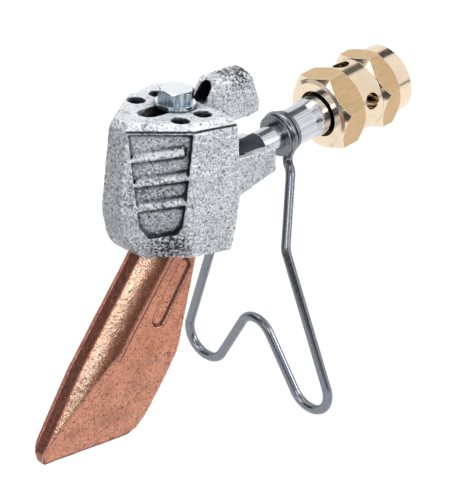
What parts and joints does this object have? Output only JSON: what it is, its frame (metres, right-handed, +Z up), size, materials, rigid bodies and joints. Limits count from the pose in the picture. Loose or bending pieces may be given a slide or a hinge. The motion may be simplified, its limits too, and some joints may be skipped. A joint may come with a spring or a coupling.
{
  "type": "gas soldering copper",
  "caption": "Gas-heated soldering copper: cast head clamping a hatchet-shaped copper bit, burner tube with a swivelling wire stand and a brass air mixer with a threaded gas inlet.",
  "frame": {"origin": "on the floor, under the middle of the object's length and width", "axes": "+X along the tool towards the gas end, +Z up, -Y the side seen in the picture"},
  "size_m": [0.185, 0.085, 0.1465],
  "materials": {
    "casting": "galvanised cast surface, rough and speckled",
    "copper": "worn copper, satin, darker at the front",
    "zinc_plate": "bright zinc plate",
    "tube_steel": "polished steel",
    "heated_steel": "heat-darkened steel",
    "disc_steel": "plated steel",
    "wire_steel": "bright drawn wire",
    "brass": "turned and milled brass",
    "gauze": "fine wire gauze"
  },
  "bodies": {
    "tool": {"head_casting": "casting", "copper_bit": "copper", "clamp_washer": "zinc_plate", "burner_tube": "tube_steel", "flame_nozzle": "heated_steel", "stand_front_disc": "disc_steel", "stand_rear_disc": "disc_steel", "step_ring": "disc_steel", "mixer_body": "brass", "gas_jet": "brass", "jet_filter": "gauze"},
    "stand": {"wire_stand": "wire_steel"},
    "bolt": {"clamp_bolt": "zinc_plate"}
  },
  "joints": [
    {"name": "stand_swivel", "type": "hinge", "parent": "tool", "child": "stand", "pos_m": [0.0298, 0, 0.11213], "axis": [0.9848, 0, 0.1736], "continuous": true},
    {"name": "bolt_turn", "type": "hinge", "parent": "tool", "child": "bolt", "pos_m": [-0.03047, 0, 0.1385], "axis": [0, 0, 1], "continuous": true}
  ]
}
